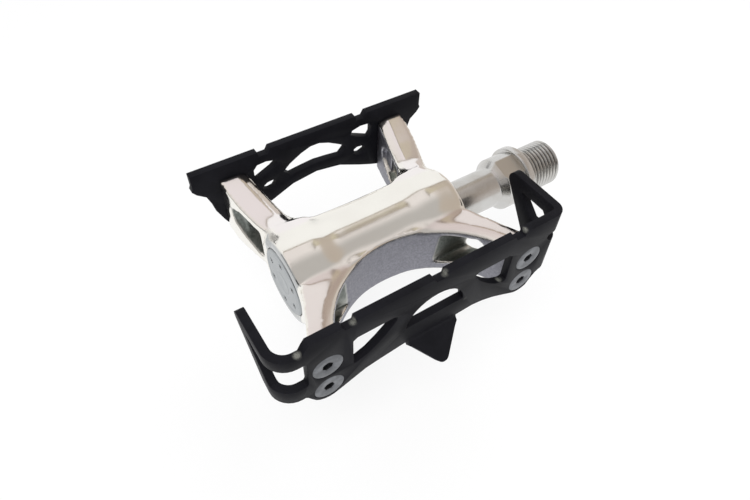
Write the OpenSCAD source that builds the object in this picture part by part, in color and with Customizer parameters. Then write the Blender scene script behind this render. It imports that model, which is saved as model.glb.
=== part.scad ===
// Left-hand track pedal, in millimetres.
// +X runs along the spindle towards the crank, +Y towards the toe, +Z up.
// The origin is on the spindle axis, at the shoulder that seats on the crank.

/* [Spindle] */
// Outer diameter of the left-hand crank thread
thread_d = 14.29; // [12.7:0.01:15]
// Length of the crank thread
thread_l = 12.4; // [9:0.1:14]
// Bevel at the thread's tip
thread_bevel = 0.9; // [0.4:0.1:1.2]
// Diameter of the full round flange at the crank
collar_d = 18.8; // [18:0.1:21]
// Diameter of the boss that carries the wrench flats
grip_d = 16.4; // [15.8:0.1:16.8]
// Distance across the two wrench flats
flats_w = 15; // [14:0.1:16]
// Width of the full round flange at the crank
flange_w = 2.6; // [1.8:0.1:3.2]
// Length of the wrench flats
flats_l = 6.5; // [5:0.1:7.5]
// Turn of the flats about the spindle, in degrees
flats_turn = 13; // [-45:1:45]
// Length of the cone from the boss down to the neck
cone_taper_l = 2; // [1.2:0.1:3]
// Diameter of the neck between boss and barrel
neck_d = 12.2; // [11:0.1:12.8]
// Diameter of the spindle between the bearings
shaft_d = 9; // [8:0.1:9.2]
// Diameter of the end thread for the bearing cone
end_thread_d = 8; // [7:0.1:8.4]
// Distance from the crank shoulder to the middle of the pedal
pedal_centre = 55; // [53:0.1:60]

/* [Barrel] */
// Length of the bearing barrel
barrel_l = 53.1; // [50:0.1:56]
// Diameter of the barrel at its two bearing ends
barrel_d = 25.4; // [24.6:0.1:27]
// Diameter of the barrel between the arches
waist_d = 23.8; // [22:0.1:24.4]
// Length of each full-size bearing end
bearing_end_l = 10.2; // [8:0.1:11]
// Length of the blend from a bearing end to the waist
barrel_blend_l = 4; // [3:0.1:5]
// Fall of the barrel's radius from the blends to its middle
waist_dip = 0.3; // [0.1:0.05:0.5]
// Bevel round each end of the barrel
barrel_bevel = 0.9; // [0.4:0.1:1.2]
// Diameter of the bores that hold the bearing cups
cup_bore_d = 19.6; // [19:0.1:20.6]
// Diameter of the bore between the cups
inner_bore_d = 14.4; // [12:0.1:16]

/* [Arms] */
// Distance from the axis to the front arch
front_waist = 8.1; // [7.6:0.1:9]
// Distance from the axis to the rear arch
rear_waist = 8.9; // [8:0.1:9.6]
// Radius of the rear arch
rear_arch_r = 27.4; // [26:0.1:29]
// Half width of the front arch where its corners end
front_arch_half = 18.6; // [17:0.1:20]
// Radius of the front arch's corners
front_arch_corner = 8; // [6:0.1:9]
// Half width of the front arch at the plate
front_arch_mouth = 21.9; // [20:0.1:22.4]
// Half width over the front arms at the plate
front_arms_half = 29.6; // [28.8:0.1:31]
// Half width over the rear arms at the plate
rear_arms_half = 33.8; // [33.4:0.1:34]
// Half width of the arms where they leave the barrel
arm_root_half = 24.6; // [23.5:0.1:25.4]
// Height of the arms' tops beside the barrel
arm_root_top = 9; // [8.4:0.1:9.6]
// Height of the front arms' tops at the plate
front_arm_top = 15; // [14.4:0.1:16]
// Height of the rear arms' tops at the plate
rear_arm_top = 10.4; // [10.2:0.1:11.5]
// Level of the arms' undersides at the front plate
front_arm_bottom = -3.8; // [-5:0.1:-3.4]
// Level of the arms' undersides at the rear plate
rear_arm_bottom = -6.6; // [-8:0.1:-6]
// Thickness of the flange above a window
flange_top_t = 2.6; // [2:0.1:3.4]
// Thickness of the flange below a window
flange_bottom_t = 2.4; // [2:0.1:3.2]
// Depth of the pockets in an arm's two walls
pocket_depth = 1.6; // [1:0.1:1.8]
// Width of the bevel along the upper edges of the arches
arch_bevel_w = 2.6; // [1.5:0.1:3.2]
// Depth of the bevel along the upper edges of the arches
arch_bevel_depth = 1; // [0.5:0.1:1.4]

/* [Plates] */
// Thickness of both plates
plate_t = 2.2; // [1.8:0.1:2.6]
// Distance from the axis to the outer face of the front plate
front_plate_y = 31.5; // [31:0.1:33]
// Distance from the axis to the outer face of the rear plate
rear_plate_y = 31; // [30.6:0.1:32]
// Height of the rear plate's upper edge
plate_top = 18.9; // [18:0.1:20]
// Height of the front plate's upper edge
front_plate_top = 19.2; // [18:0.1:20]
// Width of a grip notch in the upper edge
notch_w = 3.8; // [3:0.1:5]
// Depth of a grip notch
notch_depth = 1.5; // [1:0.1:2]
// Distance between the rear plate's grip notches
rear_notch_pitch = 24.45; // [23:0.05:26]
// Distance between the front plate's two grip notches
front_notch_pitch = 31.3; // [29:0.1:33]
// Half length of the front plate
front_plate_half = 37.3; // [36.5:0.1:38.5]
// Distance from the middle to the front screws
front_screw_x = 25.7; // [25:0.1:26]
// Distance from the middle to the rear screws
rear_screw_x = 30.3; // [30:0.1:30.6]
// Distance between the two screws of an arm
screw_pitch = 9.54; // [9:0.02:10]
// Height of the middle of the front screw pairs
front_screw_z = 6.2; // [5.8:0.1:6.4]
// Height of the middle of the rear screw pairs
rear_screw_z = 1.4; // [1.2:0.1:2]
// Radius of the ears round the lower screws
ear_r = 4.9; // [4.6:0.1:5.6]

/* [Foot loops] */
// Height of a loop's strands
strand_h = 3.8; // [3:0.1:4.4]
// Inner radius of the bend of the left loop
left_bend_r = 3.6; // [2.5:0.1:4.5]
// Inner radius of the bend of the right loop
right_bend_r = 1.2; // [0.8:0.1:2]
// Distance from the middle to the outer face of the left loop
left_loop_x = 43.3; // [42:0.1:45]
// Distance from the middle to the outer face of the right loop
right_loop_x = 40.1; // [39.6:0.1:42]
// Upper edge of the left loop
left_loop_top = 15.8; // [15:0.1:16.4]
// Distance that the loops reach forward from the rear plate
loop_reach = 17.2; // [15:0.1:19]
// Depth of the left loop's lower edge under the spindle's axis
left_loop_low = 2.6; // [2:0.1:3.4]
// Depth of the right loop's lower edge under the spindle's axis
right_loop_low = 0.9; // [0.4:0.1:1.6]
// Height of the left loop's lower strand at the bend
left_low_h = 4.9; // [4.2:0.1:5.6]
// Height of the right loop's lower strand at the bend
right_low_h = 10.4; // [9.6:0.1:10.8]
// Height of the right loop's upper strand at the bend
right_root_h = 6.4; // [5.6:0.1:7]
// Distance forward to where the left loop's gap starts to narrow
left_knee = 2.3; // [1.5:0.1:4]
// Distance forward to where the right loop's gap starts to narrow
right_knee = 6.1; // [5:0.1:7]
// Fall of the right loop's lower edge through the bend
right_fall = 1.7; // [0.5:0.1:2]
// Distance forward to where the upper strands reach their own height
strand_start = 2; // [1:0.1:2.6]
// Length of the lower strands' rounded start
rise_l = 4.5; // [3:0.1:6]
// Rise of the lower edge over that start
rise_h = 1.4; // [0.8:0.1:2]
// Length of the solid tip where the strands meet
tip_l = 3.2; // [2.5:0.1:4]

/* [Flip tab] */
// Width of the tab where it leaves the plate
tab_w = 15; // [13:0.1:16]
// Length of the tab past its bend
tab_l = 8.9; // [8:0.1:11]
// Angle of the tab out of the plate, in degrees
tab_angle = 45; // [30:1:60]
// Inner radius of the tab's bend
tab_bend_r = 1.4; // [1:0.1:2]
// Radius of the tab's tip
tab_tip_r = 2; // [1.5:0.1:3]

/* [Screws] */
// Diameter of a screw's countersunk head
screw_head_d = 8.1; // [7.8:0.1:8.6]
// Diameter of a screw's shank
screw_d = 4; // [3.5:0.1:4.2]
// Length of a screw under its head's face
screw_l = 7; // [6:0.1:7.4]
// Distance across the flats of a screw's socket
socket_w = 2.5; // [2:0.1:3]
// Depth of a screw's socket
socket_depth = 1.5; // [1:0.1:2]

/* [Bearings] */
// Diameter of a bearing ball
ball_d = 3.97; // [3.5:0.01:4.1]
// Radius of the circle that the ball centres lie on
ball_circle = 6.7; // [6.5:0.1:6.9]
// Clearance between a ball and its races
race_gap = 0.06; // [0.03:0.01:0.1]
// Distance from the barrel's inboard end to the inboard balls
inboard_depth = 6; // [5.4:0.1:7]
// Distance from the barrel's outboard end to the outboard balls
outboard_depth = 12; // [11.6:0.1:13]
// Length of a cup beside its balls
cup_lip = 1.6; // [1.2:0.1:1.9]
// Thickness of the wall behind a cup's balls
cup_wall = 1; // [0.8:0.1:1.4]
// Length of the bearing cone
cone_l = 5; // [4.6:0.1:5.6]
// Thickness of the lock washer
washer_t = 0.8; // [0.6:0.1:1]
// Diameter of the lock washer
washer_d = 12; // [11:0.1:13]
// Thickness of the locknut
nut_t = 2.8; // [2.4:0.1:3]
// Distance across the flats of the locknut
nut_w = 11; // [10:0.1:12]
// Thickness of the seal ring
seal_t = 2; // [1.6:0.1:2.4]

/* [Dust cap] */
// Thickness of the dust cap's face
cap_t = 1.6; // [1.2:0.1:1.8]
// Depth of the dust cap's threaded skirt
cap_skirt = 2; // [1.5:0.1:2.4]
// Number of spanner holes in the dust cap
cap_holes = 6; // [3:1:8]

/* [Hidden] */
$fn = 96;

// Running clearance between the turning and the still pieces
run = 0.1;
// Overshoot of a cut past the face it opens
past = 1;
inboard_end = barrel_l / 2;
outboard_end = -barrel_l / 2;
ball_r = ball_d / 2;
inboard_ball_u = inboard_end - inboard_depth;
outboard_ball_u = outboard_end + outboard_depth;
front_inner = front_plate_y - plate_t;
rear_inner = rear_plate_y - plate_t;

function arc(cx, cy, r, from, to, steps) =
    [for (i = [0:steps]) [cx + r * cos(from + (to - from) * i / steps), cy + r * sin(from + (to - from) * i / steps)]];
function mirrored(points) = [for (i = [len(points) - 1:-1:0]) [-points[i][0], points[i][1]]];

// Places a child at the pedal's middle
module at_middle() {
    translate([-pedal_centre, 0, 0]) children();
}

// Turns an outline of distance along X and radius round the spindle axis
module turned(points) {
    rotate([0, 90, 0])
        rotate_extrude()
            polygon([for (p = points) [p[1], p[0]]]);
}

// Runs an outline of X and Z along Y, from one distance to another
module along_y(from, to) {
    translate([0, to, 0])
        rotate([90, 0, 0])
            linear_extrude(to - from)
                children();
}

// Runs an outline of Y and Z along X, from one distance to another
module along_x(from, to) {
    translate([from, 0, 0])
        rotate([90, 0, 90])
            linear_extrude(to - from)
                children();
}

// Runs an outline of X and Y along Z, from one level to another
module along_z(from, to) {
    translate([0, 0, from])
        linear_extrude(to - from)
            children();
}

// Outline of the front arch between the arms
corner_at = [front_arch_half - front_arch_corner, front_waist + front_arch_corner];
mouth_at = [front_arch_mouth, front_inner + past];
corner_end = atan2(mouth_at[1] - corner_at[1], mouth_at[0] - corner_at[0])
    - acos(front_arch_corner / norm(mouth_at - corner_at));
front_arch_side = concat(arc(corner_at[0], corner_at[1], front_arch_corner, -90, corner_end, 12), [mouth_at]);
front_arch = concat(front_arch_side, mirrored(front_arch_side));
rear_arch_side = arc(0, -rear_waist - rear_arch_r, rear_arch_r, 15, 62, 12);

// Outline of one side of the front arms
front_side = [
    [arm_root_half, 6],
    [(arm_root_half + front_arms_half) / 2, 14],
    [front_arms_half - 1, 20],
    [front_arms_half - 0.2, 25],
    [front_arms_half, front_inner]
];
front_arms_outline = concat([[arm_root_half, 0]], front_side, mirrored(front_side), [[-arm_root_half, 0]]);

// Outline of one side of the rear arms
rear_side = [
    [rear_arms_half, -rear_inner],
    [(arm_root_half + rear_arms_half) / 2 - 0.1, -18],
    [arm_root_half, -7]
];
rear_arms_outline = concat(rear_side, [[arm_root_half, 0], [-arm_root_half, 0]], mirrored(rear_side));

// Side outlines of the arms, in Y and Z
front_profile = [
    [0, arm_root_top], [front_waist, arm_root_top], [front_inner, front_arm_top],
    [front_inner, front_arm_bottom], [12, front_arm_bottom - 0.8], [0, front_arm_bottom - 4]
];
rear_profile = [
    [0, arm_root_top], [-rear_waist, arm_root_top], [-rear_inner, rear_arm_top],
    [-rear_inner, rear_arm_bottom], [-12, rear_arm_bottom - 0.6], [0, rear_arm_bottom - 2]
];

// Windows and pockets in the arms, in Y and Z
window_root = barrel_d / 2;
function front_top(y) = arm_root_top + (y - front_waist) * (front_arm_top - arm_root_top) / (front_inner - front_waist);
function rear_top(y) = arm_root_top + (y - rear_waist) * (rear_arm_top - arm_root_top) / (rear_inner - rear_waist);
front_pocket = [
    [window_root, front_top(window_root) - flange_top_t], [20, front_top(20) - flange_top_t],
    [24.6, 7.8], [25.4, 5.6], [24, 3], [window_root + 1.5, front_arm_bottom + flange_bottom_t - 0.6],
    [window_root - 0.6, front_arm_bottom + flange_bottom_t - 0.6]
];
rear_pocket = [
    [-window_root, rear_top(window_root) - flange_top_t], [-20, rear_top(20) - flange_top_t],
    [-22.6, 4.6], [-23.6, 2], [-22.6, -1], [-window_root - 1.5, rear_arm_bottom + flange_bottom_t],
    [-window_root + 0.6, rear_arm_bottom + flange_bottom_t]
];
window_end = 20.5;

module window_cuts() {
    span = 2 * rear_arms_half;
    intersection() {
        along_x(-span, span) polygon(front_pocket);
        union() {
            along_z(-20, 25) translate([-span, 0]) square([2 * span, window_end]);
            for (side = [-1, 1])
                along_z(-20, 25) pocket_bands(front_side, front_arch_side, side);
        }
    }
    intersection() {
        along_x(-span, span) polygon(rear_pocket);
        union() {
            along_z(-20, 25) translate([-span, -window_end]) square([2 * span, window_end]);
            for (side = [-1, 1])
                along_z(-20, 25) pocket_bands(rear_side, rear_arch_side, side);
        }
    }
}

// Strips of the pocket depth inside an arm's outer and inner walls
module pocket_bands(outer, inner, side) {
    scale([side, 1]) {
        polygon(concat([for (p = outer) [p[0] + 3, p[1]]],
            [for (i = [len(outer) - 1:-1:0]) [outer[i][0] - pocket_depth, outer[i][1]]]));
        polygon(concat([for (p = inner) [p[0] - 3, p[1]]],
            [for (i = [len(inner) - 1:-1:0]) [inner[i][0] + pocket_depth, inner[i][1]]]));
    }
}

// Half of the barrel's outline, from the blend's end to its middle and out to the bevelled end
blend_out = inboard_end - bearing_end_l;
blend_in = blend_out - barrel_blend_l;
shoulder = (barrel_d - waist_d) / 2;
barrel_half = concat(
    [for (i = [0:2]) [blend_in * i / 3, waist_d / 2 - waist_dip * (1 - pow(i / 3, 2))]],
    [for (i = [0:4]) [blend_in + barrel_blend_l * i / 4, waist_d / 2 + shoulder * (1 - cos(45 * i)) / 2]],
    [[inboard_end - barrel_bevel, barrel_d / 2], [inboard_end, barrel_d / 2 - barrel_bevel], [inboard_end, 0]]
);
barrel_outline = concat(
    [for (i = [len(barrel_half) - 1:-1:1]) [-barrel_half[i][0], barrel_half[i][1]]],
    barrel_half
);

// Arms with the two arches cut away between them
module arms_and_barrel() {
    difference() {
        union() {
            turned(barrel_outline);
            intersection() {
                along_z(-20, 25) polygon(front_arms_outline);
                along_x(-40, 40) polygon(front_profile);
            }
            intersection() {
                along_z(-20, 25) polygon(rear_arms_outline);
                along_x(-40, 40) polygon(rear_profile);
            }
        }
        along_z(-20, 25) polygon(front_arch);
        translate([0, -rear_waist - rear_arch_r, -20]) cylinder(h = 45, r = rear_arch_r);
        front_arch_bevel();
        rear_arch_bevel();
        window_cuts();
    }
}

// Bevels along the arms' inner upper edges, clear of the barrel
bevel_past = 0.5;
bevel_fall = arch_bevel_depth / arch_bevel_w;
bevel_h = arch_bevel_depth + 2 * bevel_past * bevel_fall;
bevel_start = 1.3;
module front_arch_bevel() {
    slope = atan((front_arm_top - arm_root_top) / (front_inner - front_waist));
    wide = arch_bevel_w + bevel_past;
    intersection() {
        along_z(0, 25) translate([-40, front_waist + bevel_start]) square([80, 30]);
        translate([0, front_waist, arm_root_top])
            rotate([slope, 0, 0])
                translate([0, -front_waist, -arch_bevel_depth - bevel_past * bevel_fall])
                    for (side = [0, 1])
                        mirror([side, 0, 0])
                            translate([corner_at[0], corner_at[1], 0]) {
                                cylinder(h = bevel_h, r1 = front_arch_corner - bevel_past, r2 = front_arch_corner + wide);
                                rotate(corner_end)
                                    along_y(0, front_inner)
                                        polygon([
                                            [0, 0], [front_arch_corner - bevel_past, 0],
                                            [front_arch_corner + wide, bevel_h], [0, bevel_h]
                                        ]);
                            }
    }
}
module rear_arch_bevel() {
    slope = atan((rear_arm_top - arm_root_top) / (rear_inner - rear_waist));
    intersection() {
        along_z(0, 25) translate([-40, -rear_waist - bevel_start - 30]) square([80, 30]);
        translate([0, -rear_waist, arm_root_top])
            rotate([-slope, 0, 0])
                translate([0, -rear_arch_r, -arch_bevel_depth - bevel_past * bevel_fall])
                    cylinder(h = bevel_h, r1 = rear_arch_r - bevel_past, r2 = rear_arch_r + arch_bevel_w + bevel_past);
    }
}

module barrel_bores() {
    cup_back = ball_r + race_gap + cup_wall;
    cup_seat_in = inboard_ball_u - cup_back;
    cup_seat_out = outboard_ball_u + cup_back;
    turned([
        [outboard_end - past, 0], [outboard_end - past, cup_bore_d / 2], [cup_seat_out, cup_bore_d / 2],
        [cup_seat_out, inner_bore_d / 2], [cup_seat_in, inner_bore_d / 2], [cup_seat_in, cup_bore_d / 2],
        [inboard_end + past, cup_bore_d / 2], [inboard_end + past, 0]
    ]);
}

// Axes of one plate's four screws, pointing out through its face
module front_screw_places() {
    for (side = [-1, 1], level = [-1, 1])
        translate([side * front_screw_x, front_plate_y, front_screw_z + level * screw_pitch / 2])
            rotate([-90, 0, 0]) children();
}
module rear_screw_places() {
    for (side = [-1, 1], level = [-1, 1])
        translate([side * rear_screw_x, -rear_plate_y, rear_screw_z + level * screw_pitch / 2])
            rotate([90, 0, 0]) children();
}

module pedal_body() {
    color("gainsboro")
        at_middle()
            difference() {
                arms_and_barrel();
                barrel_bores();
                front_screw_places() translate([0, 0, -screw_l - 1]) cylinder(h = screw_l + 2, d = screw_d);
                rear_screw_places() translate([0, 0, -screw_l - 1]) cylinder(h = screw_l + 2, d = screw_d);
            }
}

// Countersunk head and shank, face up at the origin
module screw_form() {
    head_cone = (screw_head_d - screw_d) / 2;
    rim = plate_t - head_cone - 0.05;
    rotate_extrude()
        polygon([
            [0, 0], [screw_head_d / 2, 0], [screw_head_d / 2, -rim], [screw_d / 2, -rim - head_cone],
            [screw_d / 2, -screw_l + 0.4], [screw_d / 2 - 0.4, -screw_l], [0, -screw_l]
        ]);
}
module screw() {
    difference() {
        screw_form();
        translate([0, 0, -socket_depth]) cylinder(h = socket_depth + past, d = socket_w / cos(30), $fn = 6);
    }
}

module front_plate_screws() {
    color("dimgray") at_middle() front_screw_places() screw();
}
module rear_plate_screws() {
    color("dimgray") at_middle() rear_screw_places() screw();
}

// Grip notch with one steep flank, cut down from the plate's upper edge
module notch(top) {
    polygon([
        [-notch_w / 2, top + past], [-notch_w / 2, top], [-notch_w / 2 + 0.9, top - notch_depth],
        [notch_w / 2 - 0.3, top - notch_depth], [notch_w / 2, top], [notch_w / 2, top + past]
    ]);
}

front_ear_z = front_screw_z - screw_pitch / 2;
rear_ear_z = rear_screw_z - screw_pitch / 2;

front_edge_right = concat(
    [[0, 4.5], [8, 3.3], [15, 0.2], [19.5, -1.6]],
    arc(front_screw_x, front_ear_z, ear_r, -115, -20, 6),
    [[front_plate_half - 5, 4.6], [front_plate_half - 4.6, 7], [front_plate_half - 3.4, 10.6]],
    [[front_plate_half - 1, 12.6], [front_plate_half, 14], [front_plate_half - 0.4, 15]],
    [[front_plate_half - 0.4, front_plate_top]]
);

module front_plate_outline() {
    difference() {
        polygon(concat(front_edge_right, mirrored(front_edge_right)));
        for (side = [-1, 1]) {
            translate([side * front_notch_pitch / 2, 0]) mirror([1, 0]) notch(front_plate_top);
            scale([side, 1]) front_plate_slots();
        }
        polygon([
            [-10.6, 9.2], [-8.4, 11.2], [-4.6, 13.4], [-1.4, 14.6], [1.4, 14.6], [4.6, 13.4], [8.4, 11.2],
            [10.6, 9.2], [8.4, 6.9], [4.4, 7.4], [0, 7.8], [-4.4, 7.4], [-8.4, 6.9]
        ]);
    }
}

// Toe-clip slot and the small slot below it
module front_plate_slots() {
    polygon([
        [12, 13.2], [12.7, 14.5], [15.5, 15.2], [18.2, 15], [19.4, 13.6], [19.4, 11],
        [18.6, 9.7], [16.6, 10.6], [14, 11.8]
    ]);
    polygon([
        [13.2, 7.1], [14.3, 7.7], [16, 7.5], [17.7, 6.3], [17.3, 4.9], [15.6, 4.2], [14, 4.5], [13.2, 5.6]
    ]);
}

module front_plate() {
    color([0.12, 0.12, 0.13])
        at_middle()
            difference() {
                along_y(front_inner, front_plate_y) front_plate_outline();
                front_screw_places() screw_form();
            }
}

// Rear plate's flat outline, from the left loop's root to the right one
tab_root_z = -2.4;
left_bend_u = left_loop_x - plate_t - left_bend_r;
right_bend_u = right_loop_x - plate_t - right_bend_r;
left_root = -left_bend_u + 0.5;
rear_outline = concat(
    [[-34.4, plate_top], [-35.3, plate_top - 1.4], [-36.2, left_loop_top]],
    [[left_root, left_loop_top], [left_root, left_loop_top - strand_h], [-35.8, left_loop_top - strand_h]],
    [[-35.4, left_loop_top - strand_h - 0.6], [-35.4, 3.2], [-35.8, 2.3]],
    [[left_root, left_low_h - left_loop_low]],
    [[left_root, 0.4 - left_loop_low], [-36, -3.2]],
    arc(-rear_screw_x, rear_ear_z, ear_r, 205, 300, 6),
    [[-24, -5.9], [-20, -4.2], [-15.3, -3.4], [-9.4, -2.6], [-tab_w / 2, tab_root_z]],
    [[tab_w / 2, tab_root_z], [12.8, -2.1], [16.4, -2.7], [20.1, -3.9], [24, -5.7]],
    arc(rear_screw_x, rear_ear_z, ear_r, 240, 305, 5),
    [[34.3, -5.2], [35.6, -3.4], [right_bend_u, -right_loop_low - right_fall]],
    [[right_bend_u, right_low_h - right_loop_low], [35.7, 10.6], [35.2, 11.4], [35.6, 12.2]],
    [[right_bend_u, plate_top - right_root_h], [right_bend_u, plate_top]]
);

module rear_plate_cuts() {
    for (i = [-1:1])
        translate([i * rear_notch_pitch, 0]) notch(plate_top);
    for (side = [-1, 1])
        polygon([for (p = [
            [23.6, 1.6], [23.6, 11.2], [22.4, 12], [12.6, 12], [11.6, 11.4], [11.8, 10.2], [14, 7.4],
            [16.4, 5], [19.4, 2.6], [22.6, 1.2]
        ]) [side * p[0], p[1]]]);
    polygon(concat([[-8.8, 4.2], [8.8, 4.2]], arc(0, 3.5, 8.8, 8, 172, 14)));
}

// A wall bent round a vertical axis at one end of the rear plate, from the plate forward
module bent_wall(side, reach_x, bend_r) {
    bend_u = reach_x - plate_t - bend_r;
    bend_y = -rear_inner + bend_r;
    root_x = bend_u - past;
    scale([side, 1])
        polygon(concat(
            [[root_x, -rear_plate_y], [bend_u, -rear_plate_y]],
            arc(bend_u, bend_y, bend_r + plate_t, -90, 0, 8),
            [[reach_x, -rear_inner + loop_reach]],
            [[reach_x - plate_t, -rear_inner + loop_reach]],
            arc(bend_u, bend_y, bend_r, 0, -90, 8),
            [[root_x, -rear_inner]]
        ));
}

// Side outline of a loop: a level strand above and a rising one below, meeting at a round tip
module loop_side(top, root_h, low, low_h, knee, fall) {
    tip_r = strand_h * 0.6;
    tip_y = -rear_inner + loop_reach - tip_r;
    start_y = -rear_inner + strand_start;
    gap_end = tip_y - tip_l;
    difference() {
        polygon(concat(
            [[-rear_plate_y - past, top], [tip_y, top]],
            arc(tip_y, top - tip_r, tip_r, 90, -40, 6),
            [[start_y + rise_l, rise_h - low], [start_y, -low], [-rear_plate_y, -low - fall]],
            [[-rear_plate_y - past, -low - fall]]
        ));
        polygon([
            [-rear_plate_y - past, top - root_h], [start_y - past, top - root_h],
            [start_y + 1.5 * past, top - strand_h], [gap_end, top - strand_h],
            [gap_end - 0.2, top - strand_h - 0.8],
            [-rear_inner + knee, low_h - low], [-rear_plate_y - past, low_h - low]
        ]);
    }
}

module foot_loop(side, reach_x, bend_r, top, root_h, low, low_h, knee, fall) {
    intersection() {
        along_z(-low - fall - past, top + past) bent_wall(side, reach_x, bend_r);
        along_x(-2 * reach_x, 2 * reach_x) loop_side(top, root_h, low, low_h, knee, fall);
    }
}

// Side outline of the tab, in Y and Z from the middle of its bend
tab_side = concat(
    [[tab_bend_r, past], [tab_bend_r + plate_t, past]],
    arc(0, 0, tab_bend_r + plate_t, 0, -tab_angle, 6),
    [for (r = [tab_bend_r + plate_t, tab_bend_r])
        [r * cos(tab_angle) - tab_l * sin(tab_angle), -r * sin(tab_angle) - tab_l * cos(tab_angle)]],
    arc(0, 0, tab_bend_r, -tab_angle, 0, 6)
);

// Tongue folded out of the plate's lower edge, its flanks running in to a round tip
module flip_tab() {
    translate([0, -rear_plate_y - tab_bend_r, tab_root_z])
        intersection() {
            along_x(-tab_w / 2, tab_w / 2) polygon(tab_side);
            rotate([-tab_angle, 0, 0])
                along_y(-past, tab_bend_r + plate_t + past)
                    polygon(concat(
                        [[-tab_w / 2 - past, tab_w / 2], [-tab_w / 2 - past, 0.5], [-tab_w / 2 + 1.1, -1.8]],
                        arc(0, -tab_l + tab_tip_r, tab_tip_r, 215, 325, 6),
                        [[tab_w / 2 - 1.1, -1.8], [tab_w / 2 + past, 0.5], [tab_w / 2 + past, tab_w / 2]]
                    ));
        }
}

module rear_plate() {
    color([0.12, 0.12, 0.13])
        at_middle()
            difference() {
                union() {
                    along_y(-rear_plate_y, -rear_inner)
                        difference() {
                            polygon(rear_outline);
                            rear_plate_cuts();
                        }
                    foot_loop(
                        -1, left_loop_x, left_bend_r, left_loop_top, strand_h, left_loop_low, left_low_h,
                        left_knee, 0
                    );
                    foot_loop(
                        1, right_loop_x, right_bend_r, plate_top, right_root_h, right_loop_low, right_low_h,
                        right_knee, right_fall
                    );
                    flip_tab();
                }
                rear_screw_places() screw_form();
            }
}

// Radius of the spindle's race at the inboard balls, left of the race's arc
race_r = ball_r + race_gap;
shoulder_u = inboard_ball_u + race_r + 0.25;
spindle_end = outboard_end + 2.6;

module spindle_form() {
    flange_u = pedal_centre - flange_w;
    grip_u = flange_u - flats_l;
    neck_u = grip_u - cone_taper_l;
    translate([-pedal_centre, 0, 0])
        turned(concat(
            [[spindle_end, 0], [spindle_end, end_thread_d / 2 - 0.6], [spindle_end + 0.6, end_thread_d / 2]],
            [[outboard_ball_u - 0.4, end_thread_d / 2], [outboard_ball_u, shaft_d / 2]],
            [[inboard_ball_u - 3, shaft_d / 2]],
            [for (p = arc(inboard_ball_u, ball_circle, race_r, 270, 325, 8)) p],
            [[shoulder_u, ball_circle], [shoulder_u + 0.7, neck_d / 2]],
            [[neck_u, neck_d / 2], [grip_u, grip_d / 2], [flange_u, grip_d / 2]],
            [[flange_u, collar_d / 2 - 0.4]],
            [[flange_u + 0.4, collar_d / 2], [pedal_centre - 0.5, collar_d / 2]],
            [[pedal_centre, collar_d / 2 - 0.5], [pedal_centre, thread_d / 2]],
            [[pedal_centre + thread_l - thread_bevel, thread_d / 2]],
            [[pedal_centre + thread_l, thread_d / 2 - thread_bevel], [pedal_centre + thread_l, 0]]
        ));
}

// Keyway for the lock washer's tooth
key_w = 2;
key_depth = 0.9;
key_l = 6.5;

module spindle() {
    color("silver")
        difference() {
            spindle_form();
            for (side = [0, 180])
                rotate([flats_turn + side, 0, 0])
                    translate([-flange_w - flats_l - cone_taper_l, -collar_d, flats_w / 2])
                        cube([flats_l + cone_taper_l, 2 * collar_d, collar_d]);
            translate([spindle_end - pedal_centre - past, -key_w / 2, end_thread_d / 2 - key_depth])
                cube([key_l + past, key_w, key_depth + past]);
        }
}

// Ring outline of a bearing cup, opening towards +X, with its balls at the origin
function cup_outline() = concat(
    [[-ball_r - race_gap - cup_wall, cup_bore_d / 2], [-ball_r - race_gap - cup_wall, ball_circle - 1.2]],
    [[-ball_r - race_gap, ball_circle - 1.2]],
    arc(0, ball_circle, race_r, 180, 90, 8),
    [[cup_lip, ball_circle + race_r], [cup_lip, cup_bore_d / 2]]
);

module bearing_cup(u, facing) {
    at_middle()
        translate([u, 0, 0])
            scale([facing, 1, 1])
                turned(cup_outline());
}

module balls(u) {
    count = floor(180 / asin((ball_r + 0.06) / ball_circle));
    at_middle()
        for (i = [0:count - 1])
            rotate([i * 360 / count, 0, 0])
                translate([u, 0, ball_circle])
                    sphere(r = ball_r, $fn = 32);
}

module inboard_cup() {
    color("darkgray") bearing_cup(inboard_ball_u, 1);
}
module outboard_cup() {
    color("darkgray") bearing_cup(outboard_ball_u, -1);
}
module inboard_balls() {
    color("lightgray") balls(inboard_ball_u);
}
module outboard_balls() {
    color("lightgray") balls(outboard_ball_u);
}

cone_back = outboard_ball_u - cone_l;
module bearing_cone() {
    color("darkgray")
        at_middle()
            turned(concat(
                [[cone_back, end_thread_d / 2], [cone_back, ball_circle], [outboard_ball_u - race_r - 0.25, ball_circle]],
                arc(outboard_ball_u, ball_circle, race_r, 215, 270, 8),
                [[outboard_ball_u - 0.4, end_thread_d / 2]]
            ));
}

washer_back = cone_back - washer_t;
module lock_washer() {
    color("gray")
        at_middle() {
            turned([
                [washer_back, end_thread_d / 2], [washer_back, washer_d / 2],
                [cone_back, washer_d / 2], [cone_back, end_thread_d / 2]
            ]);
            translate([washer_back, -key_w / 2 + run, end_thread_d / 2 - key_depth + run])
                cube([washer_t, key_w - 2 * run, key_depth]);
        }
}

module locknut() {
    nut_back = washer_back - nut_t;
    color("gray")
        at_middle()
            difference() {
                intersection() {
                    translate([nut_back, 0, 0]) rotate([0, 90, 0])
                        cylinder(h = nut_t, d = nut_w / cos(30), $fn = 6);
                    turned([
                        [nut_back, 0], [nut_back, nut_w / 2], [nut_back + 0.5, nut_w / cos(30) / 2],
                        [washer_back, nut_w / cos(30) / 2], [washer_back, 0]
                    ]);
                }
                translate([nut_back - past, 0, 0]) rotate([0, 90, 0])
                    cylinder(h = nut_t + 2 * past, d = end_thread_d);
            }
}

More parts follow.
